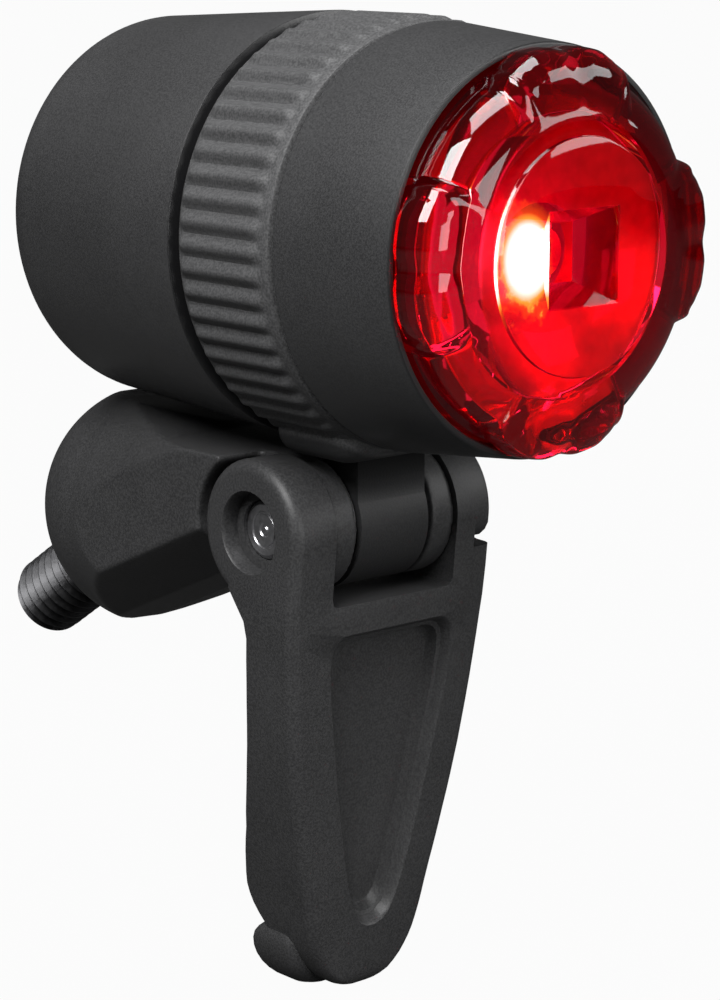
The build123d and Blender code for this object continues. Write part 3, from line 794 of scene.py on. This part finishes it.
window_outline = [(-across, rise) for across, rise in reversed(half_window)] + half_window
window = plate("window", window_outline, [(-9, 1, 1), (9, 1, 1)], tuple(hinge), forwards)
cut_or_join(clamp_lever, window, "DIFFERENCE")
bpy.context.tool_settings.mesh_select_mode = (False, True, False)
bpy.ops.object.mode_set(mode="EDIT")
bpy.ops.mesh.select_all(action="DESELECT")
bpy.ops.mesh.edges_select_sharp(sharpness=math.radians(50))
bpy.ops.object.mode_set(mode="OBJECT")
for edge in clamp_lever.data.edges:
    ends = [clamp_lever.data.vertices[number].co - hinge for number in edge.vertices]
    at_side = all(abs(abs(end.x) - window_half * mm) < 0.01 * mm for end in ends)
    within = all(abs(end.x) < (window_half - 0.01) * mm for end in ends)
    at_sill = within and all(abs(end.z - window_sill * mm) < 0.3 * mm for end in ends)
    edge.select = edge.select and (at_side or at_sill)
bpy.ops.object.mode_set(mode="EDIT")
bpy.ops.mesh.bevel(offset=0.35 * mm, segments=3, affect="EDGES", clamp_overlap=True)
bpy.ops.object.mode_set(mode="OBJECT")
lip = lofted("lip", [
    (-28.6, 0.4, 3.3, 4.6), (-29.1, 0.3, 3.95, 4.9), (-29.5, 0.25, 4.45, 5.05), (-29.9, 0.2, 4.78, 5.12),
    (-30.4, 0.2, 4.97, 5.1), (-31.0, 0.2, 5.04, 4.98), (-31.6, 0.25, 4.98, 4.78), (-32.2, 0.35, 4.82, 4.46),
    (-32.7, 0.6, 4.6, 4.06), (-33.1, 0.9, 4.36, 3.6), (-33.4, 1.2, 4.12, 3.1), (-33.65, 1.5, 3.85, 2.5),
    (-33.83, 1.8, 3.58, 1.9), (-33.94, 2.1, 3.3, 1.3), (-34.0, 2.4, 3.0, 0.7),
], 1.1)
cut_or_join(clamp_lever, lip, "UNION")
half_pocket = [
    (4.0, -7.2), (4.5, -7.28), (4.9, -7.5), (5.2, -7.85), (5.38, -8.4), (5.4, -9.4), (5.1, -12.0),
    (4.62, -14.8), (4.12, -17.6), (3.55, -20.5), (2.95, -23.4), (2.4, -25.6), (1.85, -27.3), (1.45, -28.1),
    (0.95, -28.6), (0.4, -28.85),
]
pocket_outline = half_pocket + [(-across, rise) for across, rise in reversed(half_pocket)]
middle_rise, pocket_aside = -18.1, 0.35
face_point = hinge + Vector((pocket_aside, face_at(middle_rise), middle_rise)) * mm
pocket = plate("pocket", [(across, rise - middle_rise) for across, rise in pocket_outline], [
    (0.5, 1.05, 1.03), (0.04, 1.04, 1.022), (-0.06, 1.014, 1.01), (-0.18, 1.0, 1.0), (-0.75, 0.95, 0.97),
    (-0.85, 0.9, 0.945), (-1.45, 0.86, 0.925), (-1.62, 0.83, 0.91), (-1.68, 0.78, 0.88),
], tuple(face_point), (math.pi / 2 + math.atan(face_slope), 0, 0))
cut_or_join(clamp_lever, pocket, "DIFFERENCE")
access, seat = 2.7, 7.7
openings = turned("bore", [
    (-10, 0.03), (-10, 3.0), (-9.1, 2.92), (-8.95, 2.78), (-8.7, access), (-seat, access), (-seat, pin_bore),
    (seat, pin_bore), (seat, access), (8.95, 2.74), (9.1, 2.9), (10, 3.0), (10, 0.03),
], 64, tuple(hinge), across_hinge)
notch_outline = [
    (-6.0, -0.2), (-4.93, -0.2), (-4.8, -0.9), (-4.45, -1.5), (-3.9, -1.95), (-3.0, -2.22), (-2.7, -2.36),
    (-3.0, -2.48), (-6.0, -2.62),
]
notch = plate("notch", notch_outline, [(7.2, 1, 1), (10, 1, 1)], tuple(hinge), sideways)
cut_or_join(openings, notch, "UNION")
far_ear_face = 8.45
beyond = brick((far_ear_face, -6, -2.3), (10, 6, 6))
cut_or_join(openings, beyond, "UNION")
cut_or_join(clamp_lever, openings, "DIFFERENCE")
finished(clamp_lever, angle=32)
moulded.cover(clamp_lever)
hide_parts("clamp_lever")
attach(clamp_lever, "lever")
